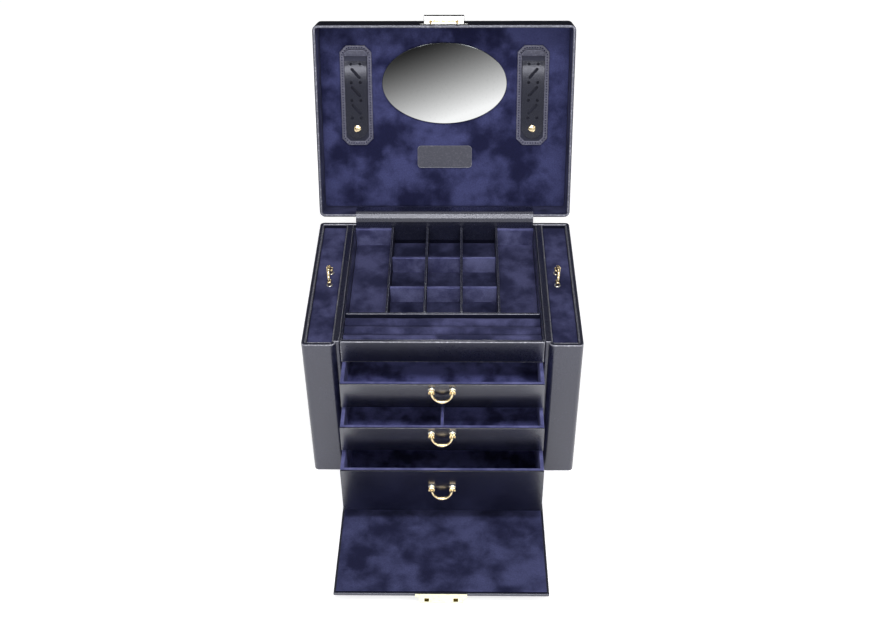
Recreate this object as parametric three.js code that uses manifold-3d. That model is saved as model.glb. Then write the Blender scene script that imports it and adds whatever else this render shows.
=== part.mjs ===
// A large leather-covered jewelry case: a casing with two side columns, a lined lid that leans back,
// a lined front flap, three pull-out drawers, a compartment tray and two lift-out necklace panels.
// Millimetres. Origin: middle of the casing's underside. X to the right, Y to the back, Z up.
import * as THREE from 'three';
import { mergeVertices } from 'three/addons/utils/BufferGeometryUtils.js';
import Module from 'manifold-3d';

const wasm = await Module();
wasm.setup();

// Casing
const CASE_WIDTH = 340;
const CASE_DEPTH = 255;
const CASE_HEIGHT = 219;
const WALL = 5;
const GAP = 0.3;
const COLUMN_INNER = 128.3;
const WELL_INNER = 132;
const BAY_HALF = 124;
const RECESS = 7;
const PLINTH_HEIGHT = 28.6;
const HALF = CASE_WIDTH / 2;
const FRONT = -CASE_DEPTH / 2;
const BACK = CASE_DEPTH / 2;
const RECESS_FRONT = FRONT + RECESS;
const BACK_INNER = BACK - WALL;

// Tray of compartments in the top of the casing
const TRAY_UNDERSIDE = 185.2;
const TRAY_FLOOR = 189;
const TRAY_HALF = 121;
const TRAY_BACK = 119.4;
const PARTITION_TOP = 217;
const PARTITION_THICK = 3;
const PARTITIONS = [-70.3, -23, 23, 70.3];
const DIVIDER_TOP = 213;
const DIVIDER_THICK = 4;
const DIVIDERS = { front: -7.4, back: 55.4 };
const RING_WALL_Y = -64.5;
const RING_ROLLS = 3;
const RING_ROLL_RADIUS = 7.9;

// Drawers: height range of each front, and how far it stands out of the recess at rest
const DRAWER_HALF = 122.8;
const DRAWER_LENGTH = 236;
const DRAWER_WALL = 4.5;
const DRAWER_FRONT_WALL = 3.2;
const FRONT_THICK = 1.8;
const FRONT_JOIN = 1.2;
const DRAWERS = [
  { bottom: 147, top: 184.4, out: 39.3, post: 8 },
  { bottom: 104, top: 141.6, out: 69.9, post: 8 },
  { bottom: 29, top: 99.4, out: 100.2, post: 27 },
];

// Ring handles: two forked posts and a bow that swings between them
const POST_SPACING = 25.3;
const COLLAR_RADIUS = 4.2;
const PIVOT_REACH = 5.8;
const FORK_OFFSET = 3;
const EAR_RADIUS = 2.7;
const EAR_THICK = 1.6;
const BOW_DROP = 12.5;
const BOW_WIRE = 1.6;
const BOW_MIDDLE = 2.4;

// Lid: depth, wall and leaning angle from the closed position
const LID_DEPTH = 50;
const LID_WALL = 4;
const LID_RECESS = 42;
const LID_CORNER = 9;
const LID_FRONT = -128.4;
const LID_RIM = CASE_HEIGHT + 0.5;
const LID_OPEN = THREE.MathUtils.degToRad(108.66);
const LID_PIVOT = { y: 130, z: 224.9 };
const LINING_THICK = 2;
const LINING_FACE = LID_RIM + LID_RECESS - LINING_THICK - GAP;

// Front flap, lying on its lock
const FLAP_HALF = 126.4;
const FLAP_LENGTH = 210;
const FLAP_BOARD = 4;
const FLAP_THICK = 6;
const FLAP_TILT = THREE.MathUtils.degToRad(3.37);
const FLAP_PIVOT = { y: FRONT - 0.3, z: 0.3 };
const LOCK_HALF = 26;
const LOCK_BASE_HALF = 30.5;
const LOCK_REACH = 11;
const LOCK_HOOK_X = 17;

// Necklace panels that lift out of the side columns
const PANEL_X = 148.5;
const PANEL_CAP_HALF = 15.2;
const PANEL_CAP_TOP = 216;
const PANEL_CAP_THICK = 8;
const PANEL_BOARD_HALF = 2;
const PANEL_LENGTH = 119;
const PANEL_FOOT = 12;
const PANEL_BAIL_Y = 4;
const PANEL_BAIL_INWARD = 3;
const PANEL_BAIL_LEAN = THREE.MathUtils.degToRad(6);
const HOOKS = 8;

const MATERIALS = {
  leather: { color: 0x272a40, roughness: 0.42, metalness: 0 },
  suede: { color: 0x2f3164, roughness: 0.95, metalness: 0 },
  brass: { color: 0xd8b877, roughness: 0.25, metalness: 1 },
  nickel: { color: 0xc9cacb, roughness: 0.22, metalness: 1 },
  mirror: { color: 0xdfe3e6, roughness: 0.03, metalness: 1 },
};

const jewelryCase = new THREE.Group();
const lid = new THREE.Group();
lid.position.set(0, LID_PIVOT.y, LID_PIVOT.z);
lid.rotation.x = -LID_OPEN;
const flap = new THREE.Group();
flap.position.set(0, FLAP_PIVOT.y, FLAP_PIVOT.z);
flap.rotation.x = -FLAP_TILT;
jewelryCase.add(lid, flap);

function addPiece(group, name, geometry, finish) {
  const mesh = new THREE.Mesh(geometry, new THREE.MeshStandardMaterial(MATERIALS[finish]));
  mesh.name = name;
  group.add(mesh);
  return mesh;
}

function box(x0, x1, y0, y1, z0, z1) {
  const geometry = new THREE.BoxGeometry(x1 - x0, y1 - y0, z1 - z0);
  geometry.translate((x0 + x1) / 2, (y0 + y1) / 2, (z0 + z1) / 2);
  return geometry;
}

// A closed outline given as [a, b] pairs, extruded by a depth along its normal.
function outline(points) {
  return new THREE.Shape(points.map(([a, b]) => new THREE.Vector2(a, b)));
}

function extrude(shape, depth, curveSegments = 8) {
  return new THREE.ExtrudeGeometry(shape, { depth, bevelEnabled: false, curveSegments });
}

// An outline in X and Y, raised from z0 to z1.
function upright(shape, z0, z1, curveSegments) {
  return extrude(shape, z1 - z0, curveSegments).translate(0, 0, z0);
}

// An outline in Y and Z, run across the case from x0 to x1.
function across(points, x0, x1) {
  const geometry = extrude(outline(points), x1 - x0);
  geometry.rotateX(Math.PI / 2);
  geometry.rotateZ(Math.PI / 2);
  return geometry.translate(x0, 0, 0);
}

// An outline in X and Z, run from front to back between y0 and y1.
function lengthwise(points, y0, y1) {
  const geometry = extrude(outline(points), y1 - y0);
  geometry.rotateX(Math.PI / 2);
  return geometry.translate(0, y1, 0);
}

function toSolid(geometry) {
  const source = geometry.clone();
  source.deleteAttribute('normal');
  source.deleteAttribute('uv');
  const merged = mergeVertices(source, 1e-4);
  return new wasm.Manifold(new wasm.Mesh({
    numProp: 3,
    vertProperties: new Float32Array(merged.attributes.position.array),
    triVerts: new Uint32Array(merged.index.array),
  }));
}

function toGeometry(solid) {
  const result = solid.getMesh();
  const geometry = new THREE.BufferGeometry();
  geometry.setAttribute('position', new THREE.BufferAttribute(result.vertProperties, 3));
  geometry.setIndex(new THREE.BufferAttribute(result.triVerts, 1));
  return geometry;
}

function join(geometries) {
  return toGeometry(geometries.map(toSolid).reduce((whole, next) => whole.add(next)));
}

function cut(geometry, cutters) {
  return toGeometry(cutters.map(toSolid).reduce((whole, next) => whole.subtract(next), toSolid(geometry)));
}

function rod(radius, length, axis, segments = 10) {
  const geometry = new THREE.CylinderGeometry(radius, radius, length, segments);
  if (axis === 'x') geometry.rotateZ(Math.PI / 2);
  if (axis === 'z') geometry.rotateX(Math.PI / 2);
  return geometry;
}

function roundedPlan(x0, x1, y0, y1, radius) {
  const shape = new THREE.Shape();
  shape.moveTo(x0 + radius, y0);
  shape.lineTo(x1 - radius, y0);
  shape.absarc(x1 - radius, y0 + radius, radius, -Math.PI / 2, 0);
  shape.lineTo(x1, y1 - radius);
  shape.absarc(x1 - radius, y1 - radius, radius, 0, Math.PI / 2);
  shape.lineTo(x0 + radius, y1);
  shape.absarc(x0 + radius, y1 - radius, radius, Math.PI / 2, Math.PI);
  shape.lineTo(x0, y0 + radius);
  shape.absarc(x0 + radius, y0 + radius, radius, Math.PI, 1.5 * Math.PI);
  return shape;
}

// Casing: bottom board notched for the flap, back, sides, L-shaped column boards, plinth and shelves.
function buildCasing() {
  const bottom = outline([
    [-HALF, FRONT], [-COLUMN_INNER, FRONT], [-COLUMN_INNER, RECESS_FRONT],
    [COLUMN_INNER, RECESS_FRONT], [COLUMN_INNER, FRONT], [HALF, FRONT], [HALF, BACK], [-HALF, BACK],
  ]);
  addPiece(jewelryCase, 'casing_bottom', upright(bottom, 0, WALL), 'leather');
  const foot = WALL + GAP;
  const sideInner = HALF - WALL;
  addPiece(jewelryCase, 'casing_back',
    box(-sideInner + GAP, sideInner - GAP, BACK_INNER, BACK, foot, CASE_HEIGHT), 'leather');
  for (const [side, sign] of [['left', -1], ['right', 1]]) {
    const wall = box(sideInner, HALF, FRONT, BACK, foot, CASE_HEIGHT);
    if (sign < 0) wall.translate(-sideInner - HALF, 0, 0);
    addPiece(jewelryCase, `casing_${side}_side`, wall, 'leather');
    const column = [
      [sideInner - GAP, FRONT], [COLUMN_INNER, FRONT], [COLUMN_INNER, RECESS_FRONT],
      [BAY_HALF, RECESS_FRONT], [BAY_HALF, BACK_INNER - GAP], [WELL_INNER, BACK_INNER - GAP],
      [WELL_INNER, FRONT + WALL], [sideInner - GAP, FRONT + WALL],
    ].map(([x, y]) => [sign * x, y]);
    addPiece(jewelryCase, `column_${side}`, upright(outline(column), foot, CASE_HEIGHT), 'leather');
  }
  const shelfHalf = BAY_HALF - GAP;
  const shelfBack = BACK_INNER - GAP;
  const plinth = [
    [RECESS_FRONT, foot], [RECESS_FRONT + WALL, foot], [RECESS_FRONT + WALL, PLINTH_HEIGHT - WALL],
    [shelfBack, PLINTH_HEIGHT - WALL], [shelfBack, PLINTH_HEIGHT], [RECESS_FRONT, PLINTH_HEIGHT],
  ];
  addPiece(jewelryCase, 'plinth', across(plinth, -shelfHalf, shelfHalf), 'leather');
  const shelves = [
    [DRAWERS[0].bottom - GAP, DRAWERS[1].top + GAP],
    [DRAWERS[1].bottom - GAP, DRAWERS[2].top + GAP],
  ];
  shelves.forEach(([top, underside], index) => {
    const shelf = box(-shelfHalf, shelfHalf, RECESS_FRONT, shelfBack, underside + GAP, top);
    addPiece(jewelryCase, `shelf_${index + 1}`, shelf, 'leather');
  });
}

// A partition standing on the tray floor; the inner two are notched from below over the dividers.
function partition(x, notched) {
  const foot = TRAY_FLOOR + GAP;
  const notchHalf = DIVIDER_THICK / 2 + GAP;
  const start = RING_WALL_Y + 2 + GAP;
  const points = [[start, foot]];
  if (notched) {
    for (const y of [DIVIDERS.front, DIVIDERS.back]) {
      points.push([y - notchHalf, foot], [y - notchHalf, DIVIDER_TOP + GAP]);
      points.push([y + notchHalf, DIVIDER_TOP + GAP], [y + notchHalf, foot]);
    }
  }
  points.push([TRAY_BACK, foot], [TRAY_BACK, PARTITION_TOP], [start, PARTITION_TOP]);
  return across(points, x - PARTITION_THICK / 2, x + PARTITION_THICK / 2);
}

// The ring pad: three rolls side by side on one base, as a single scalloped profile.
function ringPad() {
  const foot = TRAY_FLOOR + GAP;
  const shoulder = foot + 18;
  const start = RING_WALL_Y - 2 - GAP;
  const points = [[start, foot]];
  const stepsPerRoll = 8;
  for (let roll = 0; roll < RING_ROLLS; roll += 1) {
    const middle = start - RING_ROLL_RADIUS * (2 * roll + 1);
    for (let step = roll === 0 ? 0 : 1; step <= stepsPerRoll; step += 1) {
      const angle = Math.PI * step / stepsPerRoll;
      const rise = shoulder + RING_ROLL_RADIUS * Math.sin(angle);
      points.push([middle + RING_ROLL_RADIUS * Math.cos(angle), rise]);
    }
  }
  points.push([start - RING_ROLL_RADIUS * 2 * RING_ROLLS, foot]);
  return across(points.reverse(), -TRAY_HALF + GAP, TRAY_HALF - GAP);
}

function buildTray() {
  const outer = BAY_HALF - GAP;
  const front = RECESS_FRONT + WALL + GAP;
  const foot = TRAY_FLOOR + GAP;
  const trough = [
    [-outer, TRAY_UNDERSIDE], [outer, TRAY_UNDERSIDE],
    [outer, CASE_HEIGHT - 1], [TRAY_HALF, CASE_HEIGHT - 1],
    [TRAY_HALF, TRAY_FLOOR], [-TRAY_HALF, TRAY_FLOOR],
    [-TRAY_HALF, CASE_HEIGHT - 1], [-outer, CASE_HEIGHT - 1],
  ];
  addPiece(jewelryCase, 'tray_box', lengthwise(trough, front, TRAY_BACK), 'leather');
  addPiece(jewelryCase, 'tray_front_panel',
    box(-outer, outer, RECESS_FRONT, RECESS_FRONT + WALL, TRAY_UNDERSIDE, CASE_HEIGHT - 1), 'leather');
  PARTITIONS.forEach((x, index) => {
    const inner = Math.abs(x) < DIVIDERS.back;
    addPiece(jewelryCase, `tray_partition_${index + 1}`, partition(x, inner), 'leather');
  });
  const reach = PARTITIONS[3] - PARTITION_THICK / 2 - GAP;
  for (const [place, y] of Object.entries(DIVIDERS)) {
    const strip = box(-reach, reach, y - DIVIDER_THICK / 2, y + DIVIDER_THICK / 2, foot, DIVIDER_TOP);
    addPiece(jewelryCase, `tray_divider_${place}`, strip, 'suede');
  }
  const wall = box(-TRAY_HALF + GAP, TRAY_HALF - GAP, RING_WALL_Y - 2, RING_WALL_Y + 2, foot, PARTITION_TOP);
  addPiece(jewelryCase, 'ring_wall', wall, 'leather');
  addPiece(jewelryCase, 'ring_roll_pad', ringPad(), 'suede');
  const padInner = PARTITIONS[3] + PARTITION_THICK / 2 + GAP;
  for (const [side, sign] of [['left', -1], ['right', 1]]) {
    const edges = [sign * padInner, sign * (TRAY_HALF - GAP)].sort((a, b) => a - b);
    const pad = box(edges[0], edges[1], TRAY_BACK - 5, TRAY_BACK, foot, CASE_HEIGHT - 3);
    addPiece(jewelryCase, `tray_back_pad_${side}`, pad, 'suede');
  }
}

// Two forked posts facing +Z at the origin, PIVOT_REACH from face to pivot, tied behind the board.
function handlePosts(boardThick) {
  const shankRadius = 1.5;
  const collarThick = 1.6;
  const forkBase = PIVOT_REACH - EAR_RADIUS - GAP;
  const stripThick = 0.6;
  const pieces = [];
  for (const sign of [-1, 1]) {
    const x = sign * POST_SPACING / 2;
    const buried = boardThick + GAP + stripThick;
    pieces.push(rod(shankRadius, buried + 1, 'z').translate(x, 0, (1 - buried) / 2));
    pieces.push(rod(COLLAR_RADIUS, collarThick, 'z').translate(x, 0, GAP + collarThick / 2));
    pieces.push(box(x - FORK_OFFSET - EAR_THICK / 2, x + FORK_OFFSET + EAR_THICK / 2, -2, 2, 1, forkBase));
    for (const ear of [-1, 1]) {
      const cheek = x + ear * FORK_OFFSET;
      pieces.push(rod(EAR_RADIUS, EAR_THICK, 'x').translate(cheek, 0, PIVOT_REACH));
      pieces.push(box(cheek - EAR_THICK / 2, cheek + EAR_THICK / 2, -2, 2, 1.2, PIVOT_REACH));
    }
  }
  const reach = POST_SPACING / 2 + 3;
  pieces.push(box(-reach, reach, -2.5, 2.5, -boardThick - GAP - stripThick, -boardThick - GAP));
  return join(pieces);
}

// The bow hangs towards -Y from a pivot line along X through the origin.
function bail() {
  const half = POST_SPACING / 2;
  const bow = new THREE.EllipseCurve(0, 0, half, BOW_DROP, Math.PI, 2 * Math.PI);
  const steps = 14;
  const points = bow.getPoints(steps).map((p) => new THREE.Vector3(p.x, p.y, 0));
  const path = new THREE.CatmullRomCurve3(points);
  const section = new THREE.Shape().absarc(0, 0, BOW_WIRE, 0, 2 * Math.PI);
  const wire = new THREE.ExtrudeGeometry(section, {
    steps, extrudePath: path, curveSegments: 4, bevelEnabled: false,
  });
  const eyeHalf = FORK_OFFSET - EAR_THICK / 2 - GAP;
  const pieces = [wire, rod(BOW_MIDDLE, 6, 'x').translate(0, -BOW_DROP, 0)];
  for (const sign of [-1, 1]) {
    pieces.push(rod(EAR_RADIUS - 0.4, 2 * eyeHalf, 'x').translate(sign * half, 0, 0));
  }
  return join(pieces);
}

function buildDrawers() {
  DRAWERS.forEach((drawer, index) => {
    const name = `drawer_${index + 1}`;
    const face = RECESS_FRONT - drawer.out;
    const height = drawer.top - drawer.bottom;
    const postZ = drawer.top - drawer.post;
    const trayFront = face + FRONT_THICK + FRONT_JOIN;
    const holes = [-1, 1].map((sign) => rod(1.5 + GAP, 12, 'y')
      .translate(sign * POST_SPACING / 2, face + FRONT_THICK / 2, postZ));
    const board = box(-DRAWER_HALF, DRAWER_HALF, face, face + FRONT_THICK, drawer.bottom, drawer.top);
    addPiece(jewelryCase, `${name}_front`, cut(board, holes), 'leather');
    const shell = box(-DRAWER_HALF, DRAWER_HALF, trayFront, face + DRAWER_LENGTH, drawer.bottom, drawer.top);
    const hollow = box(-DRAWER_HALF + DRAWER_WALL, DRAWER_HALF - DRAWER_WALL, trayFront + DRAWER_FRONT_WALL,
      face + DRAWER_LENGTH - DRAWER_WALL, drawer.bottom + 3, drawer.top + height);
    addPiece(jewelryCase, `${name}_tray`, cut(shell, [hollow]), 'suede');
    const posts = handlePosts(FRONT_THICK).rotateX(Math.PI / 2).translate(0, face, postZ);
    addPiece(jewelryCase, `${name}_posts`, posts, 'nickel');
    const hang = THREE.MathUtils.degToRad(90 - 12);
    const bow = bail().rotateX(hang).translate(0, face - PIVOT_REACH, postZ);
    addPiece(jewelryCase, `${name}_bail`, bow, 'brass');
  });
  const middle = DRAWERS[1];
  const face = RECESS_FRONT - middle.out;
  const start = face + FRONT_THICK + FRONT_JOIN + DRAWER_FRONT_WALL + GAP;
  const end = face + DRAWER_LENGTH - DRAWER_WALL - GAP;
  const divider = box(-1.8, 1.8, start, end, middle.bottom + 3 + GAP, middle.top - 5);
  addPiece(jewelryCase, 'drawer_2_divider', divider, 'suede');
}

// A necklace panel is a capped board: a T section that runs from front to back.
function buildNecklacePanels() {
  for (const [side, sign] of [['left', -1], ['right', 1]]) {
    const x = sign * PANEL_X;
    const capUnder = PANEL_CAP_TOP - PANEL_CAP_THICK;
    const section = [
      [x - PANEL_BOARD_HALF, PANEL_FOOT], [x + PANEL_BOARD_HALF, PANEL_FOOT],
      [x + PANEL_BOARD_HALF, capUnder], [x + PANEL_CAP_HALF, capUnder],
      [x + PANEL_CAP_HALF, PANEL_CAP_TOP], [x - PANEL_CAP_HALF, PANEL_CAP_TOP],
      [x - PANEL_CAP_HALF, capUnder], [x - PANEL_BOARD_HALF, capUnder],
    ];
    const bailX = x - sign * PANEL_BAIL_INWARD;
    const holes = [-1, 1].map((end) => rod(1.5 + GAP, 12, 'z')
      .translate(bailX, PANEL_BAIL_Y + end * POST_SPACING / 2, PANEL_CAP_TOP));
    const slotReach = POST_SPACING / 2 + 3.55;
    const slotEnds = [bailX + sign * 3, bailX - sign * 20].sort((a, b) => a - b);
    const stripSlot = box(slotEnds[0], slotEnds[1], PANEL_BAIL_Y - slotReach, PANEL_BAIL_Y + slotReach,
      PANEL_CAP_TOP - 5.6, PANEL_CAP_TOP - 4);
    const body = cut(lengthwise(section, -PANEL_LENGTH, PANEL_LENGTH), [...holes, stripSlot]);
    addPiece(jewelryCase, `necklace_panel_${side}`, body, 'suede');
    const posts = handlePosts(4).rotateZ(Math.PI / 2).translate(bailX, PANEL_BAIL_Y, PANEL_CAP_TOP);
    addPiece(jewelryCase, `necklace_panel_${side}_posts`, posts, 'nickel');
    const bow = bail().rotateX(-Math.PI / 2).rotateZ(Math.PI / 2).rotateY(sign * PANEL_BAIL_LEAN)
      .translate(bailX, PANEL_BAIL_Y, PANEL_CAP_TOP + PIVOT_REACH);
    addPiece(jewelryCase, `necklace_panel_${side}_bail`, bow, 'brass');
    addPiece(jewelryCase, `necklace_hooks_${side}`, hookRail(sign), 'brass');
  }
}

// A rail of upturned hooks on the outer face of a necklace panel's board.
function hookRail(sign) {
  const railZ = 192;
  const near = PANEL_X + PANEL_BOARD_HALF + GAP;
  const peg = 7;
  const pieces = [box(near, near + 1.4, -100, 100, railZ - 4, railZ + 4)];
  for (let i = 0; i < HOOKS; i += 1) {
    const y = -91 + i * 26;
    pieces.push(box(near + 1, near + peg, y - 0.9, y + 0.9, railZ - 1, railZ + 0.8));
    pieces.push(box(near + peg - 1.8, near + peg, y - 0.9, y + 0.9, railZ - 1, railZ + 4));
  }
  const rail = toSolid(join(pieces));
  return toGeometry(sign > 0 ? rail : rail.mirror([1, 0, 0]));
}

// Pieces of the lid are given as they lie when it is shut, then moved to its pivot and turned with it.
function addToLid(name, geometry, finish) {
  return addPiece(lid, name, geometry.translate(0, -LID_PIVOT.y, -LID_PIVOT.z), finish);
}

function lidShell() {
  const bevel = 7;
  const plan = roundedPlan(-HALF + bevel, HALF - bevel, LID_FRONT + bevel, BACK - bevel,
    LID_CORNER - bevel + 1);
  const outer = new THREE.ExtrudeGeometry(plan, {
    depth: LID_DEPTH, bevelEnabled: true, bevelSize: bevel, bevelThickness: bevel,
    bevelSegments: 3, curveSegments: 3,
  }).translate(0, 0, LID_RIM - bevel);
  const below = box(-HALF - 9, HALF + 9, LID_FRONT - 9, BACK + 9, LID_RIM - 40, LID_RIM);
  const inner = roundedPlan(-HALF + LID_WALL, HALF - LID_WALL, LID_FRONT + LID_WALL, BACK - LID_WALL,
    LID_CORNER - LID_WALL);
  const recess = upright(inner, LID_RIM - 1, LID_RIM + LID_RECESS, 3);
  return cut(outer, [below, recess]);
}

function strap() {
  const half = 14.5;
  const shape = new THREE.Shape();
  shape.moveTo(-half, 0);
  shape.lineTo(half, 0);
  shape.lineTo(half, 112 - half);
  shape.absarc(0, 112 - half, half, 0, Math.PI);
  shape.closePath();
  return shape;
}

function roundHole(x, y, radius) {
  return new THREE.Path().absarc(x, y, radius, 0, 2 * Math.PI, true);
}

function slantedSlot(x, y, sign) {
  const slot = new THREE.Path();
  const tilt = sign * THREE.MathUtils.degToRad(42);
  const reach = 7.2;
  const ends = [[1, 0], [-1, Math.PI]];
  for (const [way, turn] of ends) {
    const along = Math.PI / 2 + tilt;
    slot.absarc(x + way * reach * Math.cos(along), y + way * reach * Math.sin(along), 1.9,
      along + Math.PI / 2 + turn, along - Math.PI / 2 + turn, true);
  }
  slot.closePath();
  return slot;
}

// Earring straps: along the strap y runs from its hinged end down to the snap.
function earringStrap(sign) {
  const shape = strap();
  for (let row = 0; row < 4; row += 1) {
    const y = 12 + row * 24;
    for (const x of [-6, 6]) shape.holes.push(roundHole(x, y, 2.1));
    if (row < 3) shape.holes.push(slantedSlot(0, y + 12, sign));
  }
  shape.holes.push(roundHole(0, 99, 1.6));
  return extrude(shape, 2, 5);
}

function buildLid() {
  addToLid('lid_shell', lidShell(), 'leather');
  const inset = LID_WALL + GAP;
  const lining = roundedPlan(-HALF + inset, HALF - inset, LID_FRONT + inset, BACK - inset,
    LID_CORNER - inset);
  addToLid('lid_lining', upright(lining, LINING_FACE, LINING_FACE + LINING_THICK, 3), 'suede');
  const under = LINING_FACE - GAP;
  const mirrorShape = new THREE.Shape().absellipse(0, BACK - 174.6, 83.5, 54, 0, 2 * Math.PI);
  addToLid('mirror', upright(mirrorShape, under - 2.5, under, 24), 'mirror');
  const label = roundedPlan(-37, 37, BACK - 90, BACK - 59.3, 5);
  addToLid('label_plate', upright(label, under - 1.6, under, 4), 'leather');
  const plateThick = 2;
  for (const [side, sign] of [['left', -1], ['right', 1]]) {
    const x = sign * 118.2;
    const corner = 9;
    const [x0, x1, y0, y1] = [x - 21.2, x + 21.2, BACK - 225, BACK - 91];
    const plate = outline([
      [x0 + corner, y0], [x1 - corner, y0], [x1, y0 + corner], [x1, y1 - corner],
      [x1 - corner, y1], [x0 + corner, y1], [x0, y1 - corner], [x0, y0 + corner],
    ]);
    addToLid(`strap_plate_${side}`, upright(plate, under - plateThick, under), 'leather');
    const top = under - plateThick - GAP;
    const hinged = BACK - 213;
    const piece = earringStrap(sign).translate(x, hinged, top - 2);
    addToLid(`earring_strap_${side}`, piece, 'leather');
    const capProfile = [[0, -0.8], [2.6, -0.5], [4.4, 0.4], [5, 1.4], [1.3, 1.4], [1.3, 3.6], [0, 3.6]]
      .map(([r, z]) => new THREE.Vector2(r, z));
    const cap = new THREE.LatheGeometry(capProfile, 20).rotateX(Math.PI / 2);
    addToLid(`snap_cap_${side}`, cap.translate(x, hinged + 99, top - 2 - 1.4 - GAP), 'brass');
  }
  buildLidLock();
}

// Lid half of the lock: a folded plate on the lid's front edge, with two hooks on a spring rod.
function buildLidLock() {
  const face = LID_FRONT - GAP;
  const underside = LID_RIM + 0.5;
  const plate = box(-LOCK_HALF, LOCK_HALF, face - LOCK_REACH, face, underside, underside + 2);
  const outer = face - LOCK_REACH;
  const lip = box(-LOCK_HALF, LOCK_HALF, outer, outer + 1.6, underside, underside + 12);
  const base = box(-31, 31, face - 1.4, face, underside, underside + 14);
  addToLid('lid_lock_plate', join([plate, lip, base]), 'nickel');
  const hooks = [];
  const hookY = face - 4.6;
  for (const sign of [-1, 1]) {
    const x = sign * LOCK_HOOK_X;
    hooks.push(rod(1.9, 6.5, 'z').translate(x, hookY, underside - GAP - 3.25));
    hooks.push(box(x - 1, x + 1, hookY - 1.6, hookY + 3, underside - GAP - 6.5, underside - GAP - 5));
  }
  hooks.push(rod(0.8, 2 * LOCK_HOOK_X, 'x', 8).translate(0, hookY, underside - GAP - 0.9));
  addToLid('lid_lock_hooks', join(hooks), 'nickel');
}

// Flap pieces are given along the flap: s from the hinge to the free edge is -Y, thickness is +Z.
function buildFlap() {
  const start = -0.4;
  addPiece(flap, 'flap_board', box(-FLAP_HALF, FLAP_HALF, -FLAP_LENGTH, start, 0, FLAP_BOARD), 'leather');
  const edge = 3;
  addPiece(flap, 'flap_lining', box(-FLAP_HALF + edge, FLAP_HALF - edge, -FLAP_LENGTH + edge, start - edge,
    FLAP_BOARD + GAP, FLAP_THICK), 'suede');
  const end = -FLAP_LENGTH - GAP;
  const reach = LOCK_REACH;
  const shell = [
    box(-LOCK_BASE_HALF, LOCK_BASE_HALF, end - 1, end, -0.5, 5.4),
    box(-LOCK_HALF, LOCK_HALF, end - 1, end + 24, -reach, -GAP),
  ];
  const slots = [-1, 1].map((sign) => box(sign * LOCK_HOOK_X - 2.7, sign * LOCK_HOOK_X + 2.7,
    end - 3, end + 8, -8.2, -2.4));
  const pocket = box(-9, 9, end + 8, end + 16, -reach - 1, -reach + 2.2);
  addPiece(flap, 'flap_lock_case', cut(join(shell), [...slots, pocket]), 'nickel');
  const slider = box(-4.5, 4.5, end + 8.4, end + 15.6, -reach + 0.3, -reach + 1.9);
  addPiece(flap, 'flap_lock_slider', slider, 'nickel');
}

// A thin strip of leather that follows a chain of [y, z] points, thick across its run.
function strip(points, thick, halfWidth) {
  const upper = [];
  const lower = [];
  points.forEach(([y, z], i) => {
    const [ya, za] = points[Math.max(i - 1, 0)];
    const [yb, zb] = points[Math.min(i + 1, points.length - 1)];
    const length = Math.hypot(yb - ya, zb - za);
    const side = [-(zb - za) / length * thick / 2, (yb - ya) / length * thick / 2];
    upper.push([y + side[0], z + side[1]]);
    lower.push([y - side[0], z - side[1]]);
  });
  return across([...lower, ...upper.reverse()], -halfWidth, halfWidth);
}

function buildLeatherHinges() {
  const lidPath = [
    [120.9, 195], [120.9, 219], [121.6, 224], [123.4, 229],
    [126.2, 233.2], [129.6, 235], [134, 234], [150, 228.4],
  ];
  addPiece(jewelryCase, 'lid_hinge_strap', strip(lidPath, 1.2, 120.5), 'leather');
  const flapPath = [[-121.3, 22], [-121.3, 11], [-122.6, 8.6], [-126, 7.6], [-132, 7.9], [-144, 8.6]];
  addPiece(jewelryCase, 'flap_hinge_strip', strip(flapPath, 0.8, 120.5), 'leather');
}

buildCasing();
buildTray();
buildDrawers();
buildNecklacePanels();
buildLid();
buildFlap();
buildLeatherHinges();

export default jewelryCase;
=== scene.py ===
import math

import bpy
from mathutils import Matrix, Vector


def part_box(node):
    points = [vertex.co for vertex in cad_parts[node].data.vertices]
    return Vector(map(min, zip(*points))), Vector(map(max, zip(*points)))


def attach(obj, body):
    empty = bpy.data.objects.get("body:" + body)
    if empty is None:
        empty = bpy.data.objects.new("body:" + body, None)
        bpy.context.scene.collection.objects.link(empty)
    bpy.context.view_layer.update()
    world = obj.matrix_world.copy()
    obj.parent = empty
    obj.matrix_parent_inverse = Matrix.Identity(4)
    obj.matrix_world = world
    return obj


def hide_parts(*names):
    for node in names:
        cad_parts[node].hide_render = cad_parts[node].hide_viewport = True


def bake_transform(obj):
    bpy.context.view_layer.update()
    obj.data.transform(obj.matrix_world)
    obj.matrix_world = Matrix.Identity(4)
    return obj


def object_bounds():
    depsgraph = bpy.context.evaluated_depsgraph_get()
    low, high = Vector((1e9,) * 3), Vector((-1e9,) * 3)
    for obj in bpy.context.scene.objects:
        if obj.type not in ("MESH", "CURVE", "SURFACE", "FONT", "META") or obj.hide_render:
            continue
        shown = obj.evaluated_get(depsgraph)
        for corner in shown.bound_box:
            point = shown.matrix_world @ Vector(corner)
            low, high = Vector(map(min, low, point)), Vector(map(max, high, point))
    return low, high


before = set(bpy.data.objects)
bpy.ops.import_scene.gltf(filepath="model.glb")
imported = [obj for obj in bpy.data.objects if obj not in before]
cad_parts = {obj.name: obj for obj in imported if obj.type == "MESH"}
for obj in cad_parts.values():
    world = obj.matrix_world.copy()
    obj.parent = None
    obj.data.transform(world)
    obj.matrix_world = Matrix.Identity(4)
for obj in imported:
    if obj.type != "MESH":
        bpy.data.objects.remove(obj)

case_low, case_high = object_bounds()

# The studio: a wide pale floor, a white room round it and three large soft lamps.
# The camera stands in front of the case, above it, and looks down into the open trays.


def deselect():
    if bpy.context.mode != "OBJECT":
        bpy.ops.object.mode_set(mode="OBJECT")
    bpy.ops.object.select_all(action="DESELECT")


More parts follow.
